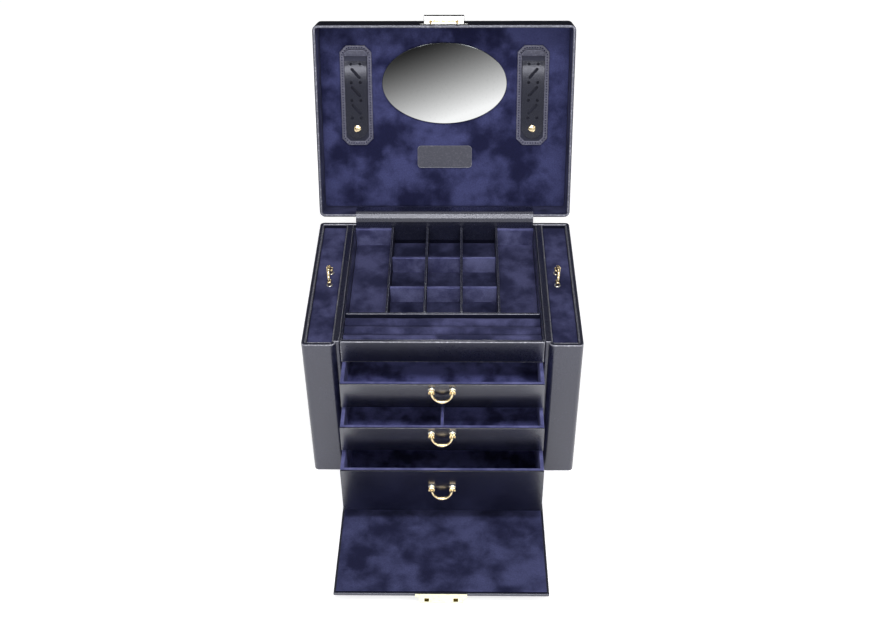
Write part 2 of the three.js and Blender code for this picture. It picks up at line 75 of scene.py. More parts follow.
def new_material(name):
    """A material with an empty tree: its nodes, its links and its surface shader."""
    material = bpy.data.materials.new(name)
    material.use_nodes = True
    nodes = material.node_tree.nodes
    return material, nodes, material.node_tree.links, nodes["Principled BSDF"]


def give(node, **values):
    """Sets a node's sockets by their names, with _ for a space."""
    for title, value in values.items():
        node.inputs[title.replace("_", " ")].default_value = value


def build_floor():
    deselect()
    bpy.ops.mesh.primitive_plane_add(size=14, location=(0, 0, case_low.z))
    floor = bpy.context.object
    floor.name = "studio_floor"
    material, _, _, surface = new_material("floor_paper")
    give(surface, Base_Color=(0.86, 0.86, 0.865, 1), Roughness=0.85, Specular_IOR_Level=0.1,
         Emission_Color=(1, 1, 1, 1), Emission_Strength=0.5)
    floor.data.materials.append(material)


def add_card(name, place, size):
    """A glowing card that only mirrors, metal and polished leather show; the camera doesn't."""
    deselect()
    bpy.ops.mesh.primitive_plane_add(size=1, location=place, rotation=(math.pi / 2, 0, 0))
    card = bpy.context.object
    card.name = name
    card.scale = (*size, 1)
    material, nodes, links, _ = new_material(name)
    nodes.clear()
    glow = nodes.new("ShaderNodeEmission")
    out = nodes.new("ShaderNodeOutputMaterial")
    links.new(glow.outputs[0], out.inputs["Surface"])
    card.data.materials.append(material)
    card.visible_camera = card.visible_diffuse = card.visible_shadow = False
    return nodes, links, glow


def build_cards():
    """Two cards in front, one above the other, and a dark one behind."""
    nodes, links, glow = add_card("shaded_card", (0, -3.2, 0.86), (4.0, 0.54))
    across_fade, middle, upward_fade, contrast = 3.4, 0.8, -1.29, 2.2
    place = nodes.new("ShaderNodeTexCoord")
    split = nodes.new("ShaderNodeSeparateXYZ")
    links.new(place.outputs["Object"], split.inputs[0])
    across, up, bright = (nodes.new("ShaderNodeMath") for _ in range(3))
    across.operation = up.operation = "MULTIPLY_ADD"
    across.inputs[1].default_value = across_fade
    across.inputs[2].default_value = middle
    links.new(split.outputs["X"], across.inputs[0])
    up.inputs[1].default_value = upward_fade
    up.use_clamp = True
    links.new(split.outputs["Y"], up.inputs[0])
    links.new(across.outputs[0], up.inputs[2])
    bright.operation = "POWER"
    bright.inputs[1].default_value = contrast
    links.new(up.outputs[0], bright.inputs[0])
    links.new(bright.outputs[0], glow.inputs["Strength"])
    for name, place, size, strength in (("upper_card", (0, -3.2, 1.7), (4.0, 1.12), 0.85),
                                        ("dark_card", (0, 1.4, 0.45), (3.6, 1.0), 0.012)):
        give(add_card(name, place, size)[2], Strength=strength)


def add_soft_lamp(name, place, aim, size, watts):
    lamp = bpy.data.lights.new(name, "AREA")
    lamp.shape = "RECTANGLE"
    lamp.size, lamp.size_y = size
    lamp.energy = watts
    holder = bpy.data.objects.new(name, lamp)
    bpy.context.scene.collection.objects.link(holder)
    holder.location = place
    holder.rotation_mode = "QUATERNION"
    holder.rotation_quaternion = (Vector(aim) - Vector(place)).to_track_quat("-Z", "Y")


def build_lights_and_camera():
    add_soft_lamp("top_lamp", (0.05, -0.75, 2.1), (0, 0, 0.2), (1.1, 0.6), 26)
    add_soft_lamp("front_lamp", (-0.1, -2.3, 1.4), (0, 0, 0.25), (1.5, 0.5), 22)
    add_soft_lamp("side_lamp", (1.7, -1.2, 1.5), (0, 0, 0.2), (0.8, 0.8), 8)
    world = bpy.data.worlds.new("white_room")
    bpy.context.scene.world = world
    world.use_nodes = True
    nodes, links = world.node_tree.nodes, world.node_tree.links
    background = nodes["Background"]
    give(background, Color=(1, 1, 1, 1))
    way = nodes.new("ShaderNodeTexCoord")
    split = nodes.new("ShaderNodeSeparateXYZ")
    links.new(way.outputs["Generated"], split.inputs[0])
    dimmer = nodes.new("ShaderNodeMapRange")
    give(dimmer, From_Min=-0.6, From_Max=0.8, To_Min=0.62, To_Max=0.16)
    links.new(split.outputs["Y"], dimmer.inputs["Value"])
    seen = nodes.new("ShaderNodeLightPath")
    strength = nodes.new("ShaderNodeMix")
    give(strength, B=1.05)
    links.new(seen.outputs["Is Camera Ray"], strength.inputs["Factor"])
    links.new(dimmer.outputs["Result"], strength.inputs["A"])
    links.new(strength.outputs["Result"], background.inputs["Strength"])
    eye = (0.0210018, -1.1673118, 1.13081)
    azimuth, elevation, roll = (math.radians(a) for a in (1.1077, 39.4868, -0.5855))
    lens = bpy.data.cameras.new("camera")
    lens.sensor_width = 36
    lens.lens = 46.97
    lens.clip_start, lens.clip_end = 0.05, 60
    camera = bpy.data.objects.new("camera", lens)
    bpy.context.scene.collection.objects.link(camera)
    camera.matrix_world = (
        Matrix.Translation(eye)
        @ Matrix.Rotation(azimuth, 4, "Z")
        @ Matrix.Rotation(math.pi / 2 - elevation, 4, "X")
        @ Matrix.Rotation(roll, 4, "Z")
    )
    bpy.context.scene.camera = camera
    bpy.context.scene.view_settings.view_transform = "Standard"


build_floor()
build_cards()
build_lights_and_camera()

# The casing: boards wrapped in one smooth calf leather cover, sides, back, bottom and the fronts of
# the two columns. Turned over the rim, it is lighter there: rubbed wear and a painted highlight.


def new_group(name, inputs, outputs):
    group = bpy.data.node_groups.new(name, "ShaderNodeTree")
    for title, kind, value in inputs:
        socket = group.interface.new_socket(name=title, in_out="INPUT", socket_type=f"NodeSocket{kind}")
        if value is not None:
            socket.default_value = value
    for title, kind in outputs:
        group.interface.new_socket(name=title, in_out="OUTPUT", socket_type=f"NodeSocket{kind}")
    return group, group.nodes.new("NodeGroupInput"), group.nodes.new("NodeGroupOutput")


def feed(group, socket, setting):
    """Links the socket to another node's output, or sets it to a number or a colour."""
    if isinstance(setting, bpy.types.NodeSocket):
        group.links.new(setting, socket)
    else:
        socket.default_value = setting


def noise(group, source, scale, detail=2.0, roughness=0.5, distortion=0.0):
    node = group.nodes.new("ShaderNodeTexNoise")
    give(node, Detail=detail, Roughness=roughness, Distortion=distortion)
    feed(group, node.inputs["Scale"], scale)
    feed(group, node.inputs["Vector"], source)
    return node.outputs["Fac"]


def remap(group, value, low, high, to_low, to_high, eased=False):
    node = group.nodes.new("ShaderNodeMapRange")
    if eased:
        node.interpolation_type = "SMOOTHSTEP"
    titles = ("Value", "From Min", "From Max", "To Min", "To Max")
    for title, setting in zip(titles, (value, low, high, to_low, to_high)):
        feed(group, node.inputs[title], setting)
    return node.outputs["Result"]


def sums(group, operation, first, second):
    node = group.nodes.new("ShaderNodeMath")
    node.operation = operation
    for socket, setting in zip(node.inputs, (first, second)):
        feed(group, socket, setting)
    return node.outputs[0]


def tint(group, mask, first, second, kind="MIX"):
    node = group.nodes.new("ShaderNodeMix")
    node.data_type = "RGBA"
    node.blend_type = kind
    for index, setting in ((0, mask), (6, first), (7, second)):
        feed(group, node.inputs[index], setting)
    return node.outputs[2]


def build_leather_grain():
    """Smooth calf: a fine pebble, slow clouds of tone, and faint rubbed marks that shine more."""
    group, given, made = new_group(
        "leather_grain",
        [("Vector", "Vector", None), ("Colour", "Color", None), ("Rubbed", "Color", None),
         ("Rubbing", "Float", 0.3), ("Least Roughness", "Float", 0.3), ("Most Roughness", "Float", 0.45)],
        [("Colour", "Color"), ("Roughness", "Float"), ("Height", "Float")],
    )
    place = given.outputs["Vector"]
    pebble = group.nodes.new("ShaderNodeTexVoronoi")
    pebble.feature = "SMOOTH_F1"
    give(pebble, Scale=850, Smoothness=0.6)
    group.links.new(place, pebble.inputs["Vector"])
    clouds = noise(group, place, 9, 3, 0.55)
    scuffs = remap(group, noise(group, place, 320, 4, 0.65), 0.5, 0.8, 0, 1)
    shade = tint(group, remap(group, clouds, 0.3, 0.7, 0, 0.35), given.outputs["Colour"], (0, 0, 0, 1))
    rub = sums(group, "MULTIPLY", scuffs, given.outputs["Rubbing"])
    worn = tint(group, rub, shade, given.outputs["Rubbed"])
    speck = remap(group, noise(group, place, 1100, 2), 0.3, 0.7, 0.86, 1.14)
    dullness = sums(group, "ADD", sums(group, "MULTIPLY", clouds, 0.6), sums(group, "MULTIPLY", scuffs, -0.2))
    least, most = given.outputs["Least Roughness"], given.outputs["Most Roughness"]
    rough = remap(group, dullness, 0.1, 0.5, least, most)
    pores = sums(group, "MULTIPLY", noise(group, place, 2600, 2), 0.4)
    height = sums(group, "ADD", pebble.outputs["Distance"], pores)
    group.links.new(worn, made.inputs["Colour"])
    group.links.new(sums(group, "MULTIPLY", rough, speck), made.inputs["Roughness"])
    group.links.new(height, made.inputs["Height"])
    return group


leather_grain = build_leather_grain()


def dressed(name, tree, relief, look, **finish):
    """A material coloured by a node group. With relief, the group gives its shine and bumps too."""
    material, nodes, links, surface = new_material(name)
    place = nodes.new("ShaderNodeTexCoord")
    group = nodes.new("ShaderNodeGroup")
    group.node_tree = tree
    give(group, **look)
    give(surface, **finish)
    links.new(place.outputs["Object"], group.inputs["Vector"])
    links.new(group.outputs["Colour"], surface.inputs["Base Color"])
    if relief:
        if "Roughness" in group.outputs:
            links.new(group.outputs["Roughness"], surface.inputs["Roughness"])
        bump = nodes.new("ShaderNodeBump")
        give(bump, Strength=relief[0], Distance=relief[1])
        links.new(group.outputs["Height"], bump.inputs["Height"])
        links.new(bump.outputs["Normal"], surface.inputs["Normal"])
    return material


def leather(name, colour, rubbed, rubbing, roughness, coat, depth, specular=0.5, coat_index=1.5):
    look = dict(Colour=(*colour, 1), Rubbed=(*rubbed, 1), Rubbing=rubbing, Least_Roughness=roughness[0],
                Most_Roughness=roughness[1])
    return dressed(name, leather_grain, (0.35, depth), look, Specular_IOR_Level=specular,
                   Specular_Tint=(0.86, 0.87, 1.0, 1), Coat_Weight=coat, Coat_Roughness=0.22,
                   Coat_IOR=coat_index)


casing_leather = leather("casing_leather", (0.005, 0.0057, 0.017), (0.02, 0.021, 0.045), 0.4, (0.26, 0.36),
                         0.35, 0.00012, 0.9)
# Rim leather: much lighter than the casing's, partly rubbed wear and partly a painted highlight on rolled
# rims.
rim_wear_and_highlight_leather = leather("rim_wear_and_highlight_leather", (0.13, 0.132, 0.16), (0.58, 0.58, 0.63), 0.8, (0.24, 0.34), 0.5, 0.0001,
                      0.8)
# Lining leather: matt and dark for inner walls; on the earring plates and straps it also stands in for shade.
lining_and_shade_leather = leather("lining_and_shade_leather", (0.006, 0.007, 0.02), (0.02, 0.021, 0.045), 0.3, (0.42, 0.58), 0.0,
                        0.00012, 0.3)


def use(piece):
    deselect()
    piece.select_set(True)
    bpy.context.view_layer.objects.active = piece


def apply_modifier(piece, kind, **settings):
    use(piece)
    modifier = piece.modifiers.new(kind.lower(), kind)
    for title, value in settings.items():
        setattr(modifier, title, value)
    bpy.ops.object.modifier_apply(modifier=modifier.name)


def round_edges(piece, width, segments, sharp, **settings):
    """Rounds the edges that turn by more than the sharp angle, in degrees."""
    apply_modifier(piece, "BEVEL", width=width, segments=segments, limit_method="ANGLE",
                   angle_limit=math.radians(sharp), **settings)


def smooth(piece, angle):
    use(piece)
    bpy.ops.object.shade_smooth_by_angle(angle=math.radians(angle))
    return piece


def settle(piece):
    """Smooth shading that keeps the flat sides flat."""
    smooth(piece, 40)
    apply_modifier(piece, "WEIGHTED_NORMAL", keep_sharp=True, weight=60)


def select_parts(piece, kind, wanted):
    """Opens the piece for editing, with only the wanted points, edges or faces selected."""
    use(piece)
    bpy.context.tool_settings.mesh_select_mode = [kind == each for each in ("vertices", "edges", "polygons")]
    mesh = piece.data
    for parts in (mesh.vertices, mesh.edges, mesh.polygons):
        parts.foreach_set("select", [False] * len(parts))
    for part in getattr(mesh, kind):
        part.select = bool(wanted(part))
    bpy.ops.object.mode_set(mode="EDIT")


def select_faces(piece, wanted):
    select_parts(piece, "polygons", lambda face: wanted(face.center, face.normal))


def select_edges(piece, wanted):
    select_parts(piece, "edges", lambda edge: wanted(*(piece.data.vertices[i].co for i in edge.vertices)))


def open_all(piece):
    """Opens the piece for editing, with all of it selected."""
    use(piece)
    bpy.ops.object.mode_set(mode="EDIT")
    bpy.ops.mesh.select_all(action="SELECT")


def cover_with(piece, *materials):
    use(piece)
    for material in materials:
        piece.data.materials.append(material)


def add_block(name, low, high):
    deselect()
    low, high = Vector(low), Vector(high)
    bpy.ops.mesh.primitive_cube_add(size=1, location=(low + high) / 2, scale=high - low)
    piece = bpy.context.object
    piece.name = piece.data.name = name
    bpy.ops.object.transform_apply()
    return piece


def board(name, low, high, edge, materials, segments=3):
    """A covered board: its edges are rounded, and carry the second material if there is one."""
    piece = add_block(name, low, high)
    cover_with(piece, *materials)
    apply_modifier(piece, "BEVEL", width=edge, segments=segments, limit_method="NONE",
                   material=len(materials) - 1)
    settle(piece)
    return piece


def fit(piece, body, slot, *nodes):
    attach(piece, body)
    if nodes:
        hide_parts(*nodes)
    return piece


def on_plane(value, place):
    return abs(value - place) < 1e-5


def build_casing_cover():
    low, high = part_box("casing_left_side")[0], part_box("casing_right_side")[1]
    low.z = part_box("casing_bottom")[0].z
    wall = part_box("casing_bottom")[1].z - low.z
    bay, recess = 0.1283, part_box("plinth")[0].y
    outer_corner, front_corner, rim_edge, rim_band = 0.0054, 0.0075, 0.0014, 0.0013
    cover = add_block("casing_cover", low, high)
    cuts = [((bay, 0, 0), (1, 0, 0)), ((-bay, 0, 0), (1, 0, 0)), ((0, recess, 0), (0, 1, 0))]
    for point, normal in cuts:
        open_all(cover)
        bpy.ops.mesh.bisect(plane_co=point, plane_no=normal)

    def opening(centre, normal):
        between = abs(centre.x) < bay
        if on_plane(centre.z, high.z):
            return True
        return between and (on_plane(centre.y, low.y) or (on_plane(centre.z, low.z) and centre.y < recess))

    select_faces(cover, opening)
    bpy.ops.mesh.delete(type="FACE")
    select_edges(cover, lambda a, b: all(
        on_plane(abs(p.x), bay) and on_plane(p.y, low.y) for p in (a, b)) and abs(a.z - b.z) > 0.1)
    bpy.ops.mesh.extrude_edges_move(TRANSFORM_OT_translate={"value": (0, recess - low.y, 0)})
    bpy.ops.mesh.select_all(action="SELECT")
    bpy.ops.mesh.remove_doubles(threshold=1e-5)
    bpy.ops.mesh.normals_make_consistent()

    def upright(a, b):
        return on_plane(a.x, b.x) and on_plane(a.y, b.y) and abs(a.z - b.z) > 0.1

    select_edges(cover, lambda a, b: (
        upright(a, b) and on_plane(abs(a.x), high.x) and on_plane(abs(a.y), high.y)))
    bpy.ops.mesh.bevel(offset=outer_corner, segments=5, clamp_overlap=True)
    select_edges(cover, lambda a, b: upright(a, b) and on_plane(abs(a.x), bay) and on_plane(a.y, low.y))
    bpy.ops.mesh.bevel(offset=front_corner, segments=8, clamp_overlap=True)
    cover_with(cover, casing_leather, rim_wear_and_highlight_leather)
    apply_modifier(cover, "SOLIDIFY", thickness=wall, offset=-1, use_even_offset=True)
    round_edges(cover, rim_edge, 4, 40, material=-1, use_clamp_overlap=False)
    # The rim's sloping faces take the lighter rim leather: partly rubbed wear, partly a painted highlight.
    for face in cover.data.polygons:
        if face.center.z > high.z - rim_band and 0.1 < face.normal.z < 0.97:
            face.material_index = 1
    settle(cover)
    fit(cover, "casing", "leather", "casing_bottom", "casing_back", "casing_left_side", "casing_right_side")


build_casing_cover()

# The columns' inner boards part the necklace wells from the drawer bay, and stand in the cover.
# They are leather over board, with a rolled top edge that carries a painted highlight.


def build_column_board(side, sign):
    low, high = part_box(f"column_{side}")
    inner, well = 0.124, 0.132
    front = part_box("plinth")[0].y
    edges = sorted((sign * inner, sign * well))
    piece = board(f"column_board_{side}", (edges[0], front, low.z), (edges[1], high.y, high.z), 0.0013,
                  [casing_leather, rim_wear_and_highlight_leather])
    # Faces that slope upward take the lighter rim leather: a painted highlight on the rolled top edge.
    for face in piece.data.polygons:
        face.material_index = 1 if 0.3 < face.normal.z < 0.95 else 0
    fit(piece, "casing", "leather", f"column_{side}")


sides = (("left", -1), ("right", 1))
for side, sign in sides:
    build_column_board(side, sign)

# Well liners: thin leather-covered card, folded to an open box and pushed down inside each column,
# with its turned edge a little below the rim. The turned edge is lighter: a painted highlight.


def build_well_liner(side, sign):
    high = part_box(f"column_{side}")[1]
    outer, inner, front, floor, below_rim = 0.1648, 0.1321, -0.1224, 0.006, 0.0006
    edges = sorted((sign * outer, sign * inner))
    liner = add_block(f"well_liner_{side}", (edges[0], front, floor),
                      (edges[1], high.y - 0.0002, high.z - below_rim))
    select_faces(liner, lambda centre, normal: normal.z > 0.9)
    bpy.ops.mesh.delete(type="FACE")
    select_edges(liner, lambda a, b: abs(a.z - b.z) > 0.1)
    bpy.ops.mesh.bevel(offset=0.0015, segments=3)
    # The turned edge takes the lighter rim leather: a painted highlight.
    cover_with(liner, lining_and_shade_leather, rim_wear_and_highlight_leather)
    apply_modifier(liner, "SOLIDIFY", thickness=0.0009, offset=-1, material_offset_rim=1)
    round_edges(liner, 0.00042, 3, 50, material=-1)
    settle(liner)
    fit(liner, "casing", "leather")


for side, sign in sides:
    build_well_liner(side, sign)

# Plinth and shelves: boards wrapped in the casing's leather and glued across the bay, one under
# each drawer.


def copy_node(node, name):
    """A copy of a CAD node's mesh, bare of its own shading and materials."""
    piece = bpy.data.objects.new(name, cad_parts[node].data.copy())
    piece.data.name = name
    bpy.context.scene.collection.objects.link(piece)
    use(piece)
    bpy.ops.mesh.customdata_custom_splitnormals_clear()
    piece.data.materials.clear()
    return piece


def merge_triangles(piece):
    """Makes whole flat faces of the loose triangles, and leaves the piece open for editing."""
    open_all(piece)
    bpy.ops.mesh.remove_doubles(threshold=1e-6)
    bpy.ops.mesh.dissolve_limited(angle_limit=math.radians(1))


def covered_copy(node, name, edge, materials, segments=3, sharp=30):
    """The board of a CAD node with its cover drawn tight, and its edges rounded."""
    piece = copy_node(node, name)
    merge_triangles(piece)
    cover_with(piece, *materials)
    round_edges(piece, edge, segments, sharp, material=len(materials) - 1)
    settle(piece)
    return piece


for node in ("plinth", "shelf_1", "shelf_2"):
    fit(covered_copy(node, f"{node}_cover", 0.001, [casing_leather]), "casing", "leather", node)

# The compartment tray: a shallow leather trough with a front panel. Its floor is lined in suede,
# glued down, and shows the marks of hands in the nap.


def build_suede_nap():
    """Suede: clouds of nap brushed light and dark, over a fine speckle of fibres."""
    group, given, made = new_group(
        "suede_nap",
        [("Vector", "Vector", None), ("Dark", "Color", None), ("Light", "Color", None),
         ("Patches", "Float", 18.0), ("Evenness", "Float", 0.16)],
        [("Colour", "Color"), ("Height", "Float")],
    )
    place = given.outputs["Vector"]
    broad = noise(group, place, given.outputs["Patches"], 2, 0.5, 0.15)
    close = noise(group, place, sums(group, "MULTIPLY", given.outputs["Patches"], 2.3), 3, 0.55, 0.2)
    both = sums(group, "ADD", sums(group, "MULTIPLY", broad, 0.62), sums(group, "MULTIPLY", close, 0.38))
    low = sums(group, "SUBTRACT", 0.5, given.outputs["Evenness"])
    high = sums(group, "ADD", 0.5, given.outputs["Evenness"])
    brushed = remap(group, both, low, high, 0, 1, True)
    cloth = tint(group, brushed, given.outputs["Dark"], given.outputs["Light"])
    fibres = noise(group, place, 620, 3, 0.7)
    fine = noise(group, place, 1900, 2, 0.6)
    speckle = remap(group, sums(group, "ADD", fibres, fine), 0.7, 1.3, 0.72, 1.28)
    joined = group.nodes.new("ShaderNodeCombineColor")
    for channel in ("Red", "Green", "Blue"):
        group.links.new(speckle, joined.inputs[channel])
    group.links.new(tint(group, 1.0, cloth, joined.outputs[0], "MULTIPLY"), made.inputs["Colour"])
    height = sums(group, "ADD", sums(group, "MULTIPLY", fibres, 0.5), sums(group, "MULTIPLY", fine, 0.7))
    group.links.new(sums(group, "ADD", height, sums(group, "MULTIPLY", brushed, 0.8)), made.inputs["Height"])
    return group


suede_nap = build_suede_nap()


def suede(name, dark, light, patches, evenness, sheen):
    look = dict(Dark=(*dark, 1), Light=(*light, 1), Patches=patches, Evenness=evenness)
    return dressed(name, suede_nap, (0.5, 0.0004), look, Roughness=0.95, Specular_IOR_Level=0.12,
                   Sheen_Weight=sheen, Sheen_Roughness=0.55, Sheen_Tint=(0.5, 0.52, 1.0, 1))


tray_suede = suede("tray_suede", (0.014, 0.015, 0.044), (0.055, 0.057, 0.13), 20, 0.12, 0.1)
# Edge suede: a brighter copy of the suede for rims and rounded edges, painted sheen where they catch light.
suede_edge_sheen = suede("suede_edge_sheen", (0.04, 0.043, 0.12), (0.11, 0.115, 0.26), 40, 0.2, 0.2)

fit(covered_copy("tray_box", "tray_box_cover", 0.0006, [casing_leather]), "casing", "leather", "tray_box")
# The panel's rounded edges take the lighter rim leather: a painted highlight.
fit(covered_copy("tray_front_panel", "tray_front_cover", 0.0012, [casing_leather, rim_wear_and_highlight_leather]),
    "casing", "leather", "tray_front_panel")

shaded_suede = suede("shaded_suede", (0.008, 0.009, 0.028), (0.034, 0.036, 0.085), 26, 0.14, 0.05)


def build_tray_floor():
    """Three linings: one under each long compartment and one under the grid, where less light falls."""
    floor, sunk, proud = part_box("tray_partition_1")[0].z, 0.0004, 0.0005
    inside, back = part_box("ring_wall"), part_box("tray_box")[1].y
    walls = [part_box(f"tray_partition_{n}") for n in (1, 4)]
    for place, start, end, cloth in (("left", inside[0].x, walls[0][0].x, tray_suede),
                                     ("grid", walls[0][1].x, walls[1][0].x, shaded_suede),
                                     ("right", walls[1][1].x, inside[1].x, tray_suede)):
        lining = board(f"tray_floor_{place}", (start, inside[1].y, floor - sunk), (end, back, floor + proud),
                       0.0003, [cloth])
        fit(lining, "casing", "suede")


build_tray_floor()

# Partitions and ring wall: thin boards in matt leather, glued to the tray's floor. The leather is
# folded over their tops, which are painted lighter: a painted highlight where the fold catches light.

fold_highlight_leather = leather("fold_highlight_leather", (0.03, 0.031, 0.052), (0.3, 0.3, 0.34), 0.6, (0.24, 0.34), 0.5, 0.0001,
                       0.8)


def highlight_on_top(piece):
    """Leaves the second, lighter leather on the upward faces alone: a painted highlight."""
    for face in piece.data.polygons:
        if face.normal.z < 0.3:
            face.material_index = 0
    return piece


for node, edge in [(f"tray_partition_{number}", 0.0009) for number in range(1, 5)] + [("ring_wall", 0.0012)]:
    wall = covered_copy(node, f"{node}_cover", edge, [lining_and_shade_leather, fold_highlight_leather])
    fit(highlight_on_top(wall), "casing", "leather", node)

# Dividers: suede-covered cards that stand between the partitions, three to a row. Their suede is a
# lighter copy of the floor's, painted front light and sheen; their edges are lighter still, painted sheen.

lit_pad_suede = suede("lit_pad_suede", (0.030, 0.031, 0.085), (0.10, 0.105, 0.22), 32, 0.16, 0.12)


def build_divider_pads(row):
    low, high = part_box(f"tray_divider_{row}")
    walls, gap = [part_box(f"tray_partition_{n}") for n in range(1, 5)], 0.0004
    for place in range(3):
        left, right = walls[place][1].x + gap, walls[place + 1][0].x - gap
        # Each pad's rounded edges take the brighter edge suede: painted sheen.
        pad = board(f"tray_divider_{row}_pad_{place + 1}", (left, low.y, low.z), (right, high.y, high.z),
                    0.0007, [lit_pad_suede, suede_edge_sheen], 2)
        fit(pad, "casing", "suede", *([f"tray_divider_{row}"] if place == 0 else []))


build_divider_pads("front")
build_divider_pads("back")

# Ring rolls: three foam rolls wrapped in suede, side by side on one base that drops into its place.
# Rings are pushed into the two creases.

roll_suede = suede("roll_suede", (0.016, 0.017, 0.046), (0.06, 0.062, 0.14), 22, 0.12, 0.1)


def add_part(kind, name, material, **settings):
    deselect()
    getattr(bpy.ops.mesh, f"primitive_{kind}_add")(**settings)
    part = bpy.context.object
    part.name = part.data.name = name
    bpy.ops.object.transform_apply()
    part.data.materials.append(material)
    return part


def build_ring_rolls():
    low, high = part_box("ring_roll_pad")
    radius = (high.y - low.y) / 6
    soft = bpy.data.textures.new("foam_unevenness", "CLOUDS")
    soft.noise_scale = 0.03
    base = board("ring_roll_base", low, (high.x, high.y, high.z - radius * 1.25), 0.0008, [roll_suede])
    fit(base, "casing", "suede", "ring_roll_pad")
    for number in range(3):
        middle = Vector((0, high.y - radius * (2 * number + 1), high.z - radius - 0.0002))
        roll = add_part("cylinder", f"ring_roll_{number + 1}", roll_suede, vertices=28, radius=radius * 0.985,
                        depth=high.x - low.x, location=middle, rotation=(0, math.pi / 2, 0))
        select_edges(roll, lambda a, b: abs(a.x - b.x) > 0.1)
        bpy.ops.mesh.subdivide(number_cuts=59)
        select_faces(roll, lambda centre, normal: abs(normal.x) > 0.9)
        bpy.ops.mesh.inset(thickness=0.0016)
        apply_modifier(roll, "DISPLACE", texture=soft, strength=0.0011, mid_level=0.62,
                       texture_coords="LOCAL")
        smooth(roll, 60)
        fit(roll, "casing", "suede")


build_ring_rolls()

# Back pads of the two long compartments: suede on a soft backing, glued to the tray's back wall and
# a little lower than it.

# Lighter pad suede, painted front light and sheen, with brighter edge suede on the rounded edges: painted
# sheen.
for side in ("left", "right"):
    node = f"tray_back_pad_{side}"
    fit(covered_copy(node, f"{node}_cover", 0.0009, [lit_pad_suede, suede_edge_sheen]), "casing", "suede", node)

# Necklace panels: a suede-wrapped cap on a thin board with a row of hooks, which lifts out of its
# well by a ring. The cap is the part that shows when it is down.

panel_suede = suede("panel_suede", (0.010, 0.011, 0.036), (0.048, 0.050, 0.118), 22, 0.12, 0.08)


def build_metal_polish():
    """Plated metal: slow waves from the polishing wheel, and a few dull spots."""
    group, given, made = new_group(
        "metal_polish",
        [("Vector", "Vector", None), ("Colour", "Color", None), ("Dulled", "Color", None)],
        [("Colour", "Color"), ("Roughness", "Float"), ("Height", "Float")],
    )
    place = given.outputs["Vector"]
    dull = remap(group, noise(group, place, 260, 3, 0.6), 0.5, 0.75, 0, 1, True)
    plating = tint(group, dull, given.outputs["Colour"], given.outputs["Dulled"])
    group.links.new(plating, made.inputs["Colour"])
    group.links.new(remap(group, dull, 0, 1, 0.14, 0.3), made.inputs["Roughness"])
    group.links.new(noise(group, place, 420, 2), made.inputs["Height"])
    return group


metal_polish = build_metal_polish()


def metal(name, colour, dulled):
    look = dict(Colour=(*colour, 1), Dulled=(*dulled, 1))
    return dressed(name, metal_polish, (0.1, 0.00004), look, Metallic=1.0)


pale_brass = metal("pale_brass", (0.83, 0.68, 0.42), (0.6, 0.46, 0.26))
nickel_plate = metal("nickel_plate", (0.80, 0.80, 0.78), (0.58, 0.58, 0.56))


def build_necklace_panel(side):
    body = f"necklace_panel_{side}"
    low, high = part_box(body)
    middle, half, short = (low.x + high.x) / 2, 0.002, 0.001
    under = high.z - 0.008
    cap = add_block(f"necklace_cap_{side}", (low.x, low.y, under), high)
    cover_with(cap, panel_suede)
    select_faces(cap, lambda centre, normal: normal.z > 0.9)
    bpy.ops.mesh.subdivide(number_cuts=9)
    round_edges(cap, 0.0016, 4, 40)
    settle(cap)
    fit(cap, body, "suede", body)
    leaf = board(f"necklace_board_{side}", (middle - half, low.y + short, low.z),
                 (middle + half, high.y - short, under + 0.0005), 0.0008, [panel_suede])
    fit(leaf, body, "suede")
    hooks = covered_copy(f"necklace_hooks_{side}", f"necklace_hook_rail_{side}", 0.0003, [pale_brass], 2)
    fit(hooks, body, "brass", f"necklace_hooks_{side}")


for side in ("left", "right"):
    build_necklace_panel(side)

# The lid: a deep leather-covered cover, rounded at its corners and over its top. It leans back
# on a broad leather strap; a band along its rim is painted lighter, a painted highlight.

pivot = Vector((0, 0.130, 0.2249))
lean = math.radians(-108.66)
lid_half, lid_front, lid_back, lid_rim = 0.17, -0.1284, 0.1275, 0.2195


def about_pivot(angle):
    return Matrix.Translation(pivot) @ Matrix.Rotation(angle, 4, "X") @ Matrix.Translation(-pivot)


def move_by(piece, change):
    """Moves and turns the piece, and keeps its new place in its mesh."""
    use(piece)
    piece.matrix_world = change
    bpy.ops.object.transform_apply()
    return piece


def lean_back(piece):
    """Turns a piece made as it lies on the shut lid into the place it has on the open one."""
    return move_by(piece, about_pivot(lean))


# Lid rim leather: lighter than the casing's, with rubbed marks; its lightness is a painted highlight.
lid_rim_wear_and_highlight_leather = leather("lid_rim_wear_and_highlight_leather", (0.08, 0.082, 0.115), (0.44, 0.44, 0.51), 0.7, (0.3, 0.42),
                          0.3, 0.00012, 0.8)


